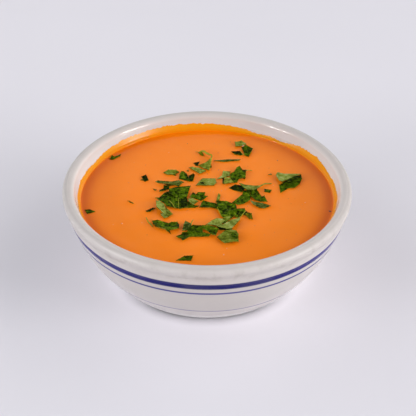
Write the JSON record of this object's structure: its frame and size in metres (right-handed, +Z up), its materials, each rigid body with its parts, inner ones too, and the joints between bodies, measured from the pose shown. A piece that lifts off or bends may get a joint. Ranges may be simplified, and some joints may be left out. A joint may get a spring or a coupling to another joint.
{
  "type": "tomato soup",
  "caption": "Tomato soup strewn with chopped flat parsley, served in a round white stoneware bowl with blue bands.",
  "frame": {"origin": "middle of the foot ring, on the surface that the bowl stands on", "axes": "+Z up along the bowl's turning axis, -Y towards the viewer, +X to the viewer's right"},
  "size_m": [0.15, 0.15, 0.0524],
  "materials": {
    "glaze": "white glossy glaze with blue bands, bare clay at the foot",
    "soup": "smooth creamy liquid, wet sheen",
    "parsley_top": "dark green leaf, satin",
    "parsley_underside": "pale grey-green leaf underside, matt"
  },
  "bodies": {
    "root": {"bowl": "glaze", "soup": "soup", "leaf_large_left": "parsley_top", "leaf_side_left": "parsley_top", "leaf_strip_left": "parsley_top", "leaf_forked": "parsley_top", "leaf_fold_left": "parsley_underside", "leaf_long_left": "parsley_top", "leaf_cluster_front": "parsley_top", "leaf_front_right": "parsley_underside", "leaf_pale_front": "parsley_underside", "leaf_large_middle": "parsley_top", "leaf_band_middle": "parsley_top", "leaf_lobed_middle": "parsley_top", "leaf_dark_right": "parsley_top", "leaf_lobed_right": "parsley_top", "leaf_crescent": "parsley_underside", "leaf_toothed": "parsley_top", "leaf_pale_middle": "parsley_underside", "leaf_pale_back": "parsley_underside", "leaf_pale_left": "parsley_underside", "leaf_folded_right": "parsley_top", "leaf_back": "parsley_top", "leaf_front_chip": "parsley_top"}
  },
  "joints": []
}
